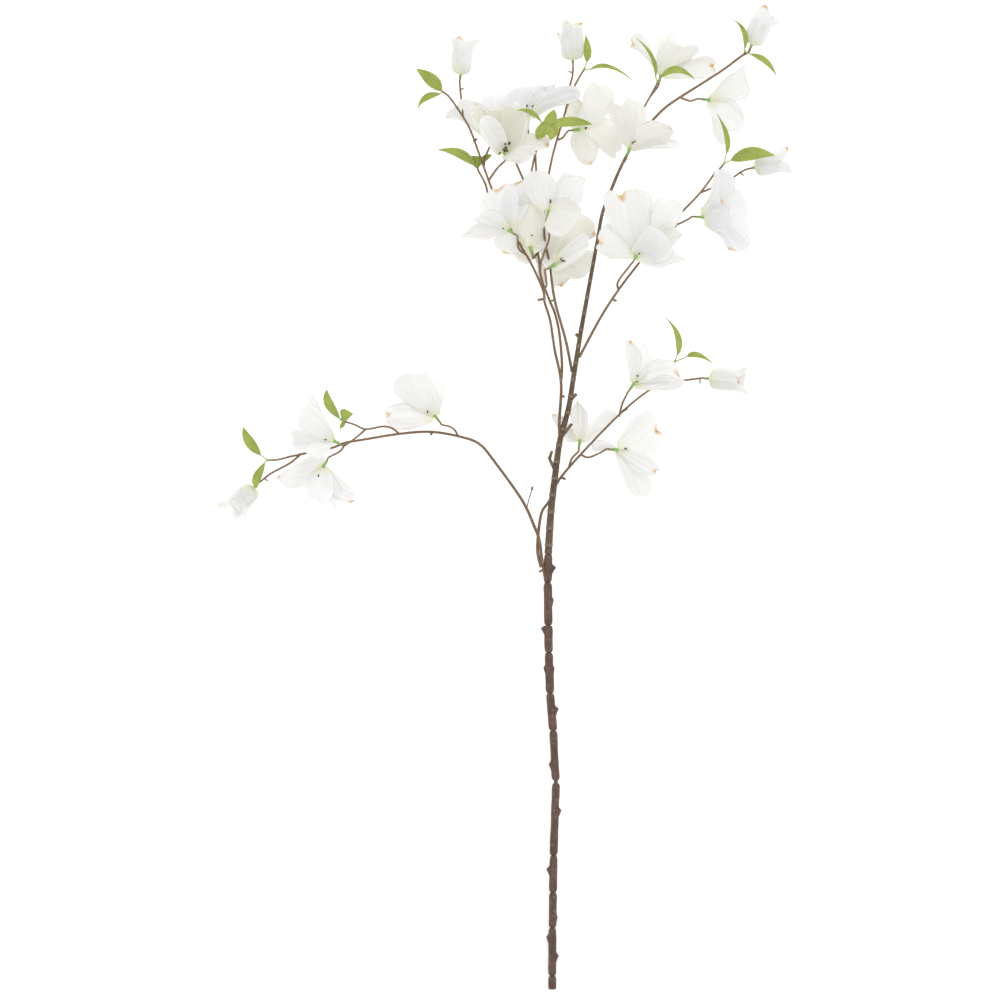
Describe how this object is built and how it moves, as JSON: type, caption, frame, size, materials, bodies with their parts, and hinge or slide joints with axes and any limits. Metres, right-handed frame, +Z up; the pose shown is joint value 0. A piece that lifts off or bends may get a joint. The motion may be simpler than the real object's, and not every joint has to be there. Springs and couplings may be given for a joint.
{
  "type": "dogwood flower branch",
  "caption": "Long artificial dogwood spray lying flat: sleeved bark stem that forks into thin side stems with four-petalled white blossoms, tulip-shaped buds and small green leaves.",
  "frame": {"origin": "on the surface that the branch lies on, under the middle of its outline", "axes": "+Y along the branch from its cut end to its flowering end, +Z up from the surface, +X to the right seen from above with the flowering end away from the viewer"},
  "size_m": [0.6316, 1.0832, 0.1169],
  "materials": {
    "bark": "rough moulded bark, red-brown to grey-brown",
    "core": "smooth dull grey-brown coating",
    "twig": "matt orange-brown to olive-brown",
    "petal": "thin off-white cloth with fine veins, yellow-green at the base and tan at the tips",
    "leaf": "matt yellow-green cloth with a lighter midrib"
  },
  "bodies": {
    "root": {"stem_core": "core", "bark_sleeve_01": "bark", "bark_sleeve_02": "bark", "bark_sleeve_03": "bark", "bark_sleeve_04": "bark", "bark_sleeve_05": "bark", "bark_sleeve_06": "bark", "bark_sleeve_07": "bark", "bark_sleeve_08": "bark", "bark_sleeve_09": "bark", "bark_sleeve_10": "bark", "bark_sleeve_11": "bark", "leader_stem": "bark", "left_arching_stem": "twig", "right_low_stem": "twig", "crown_stem_left": "twig", "crown_stem_inner": "twig", "crown_stem_middle": "twig", "crown_stem_right": "twig", "blossom_01": "petal", "blossom_02": "petal", "blossom_03": "petal", "blossom_04": "petal", "blossom_05": "petal", "blossom_06": "petal", "blossom_07": "petal", "blossom_08": "petal", "blossom_09": "petal", "blossom_10": "petal", "blossom_11": "petal", "blossom_12": "petal", "blossom_13": "petal", "blossom_14": "petal", "blossom_15": "petal", "blossom_16": "petal", "blossom_17": "petal", "blossom_18": "petal", "blossom_19": "petal", "blossom_20": "petal", "bud_01": "petal", "bud_02": "petal", "bud_03": "petal", "bud_04": "petal", "bud_05": "petal", "bud_06": "petal", "leaves_left_tip": "leaf", "leaves_left_stem": "leaf", "leaves_right_low": "leaf", "leaves_right_stem": "leaf", "leaves_top_right": "leaf", "leaves_top_middle": "leaf", "leaves_top_centre": "leaf", "leaves_crown": "leaf", "leaves_left_crown": "leaf", "leaves_top_left": "leaf"}
  },
  "joints": []
}
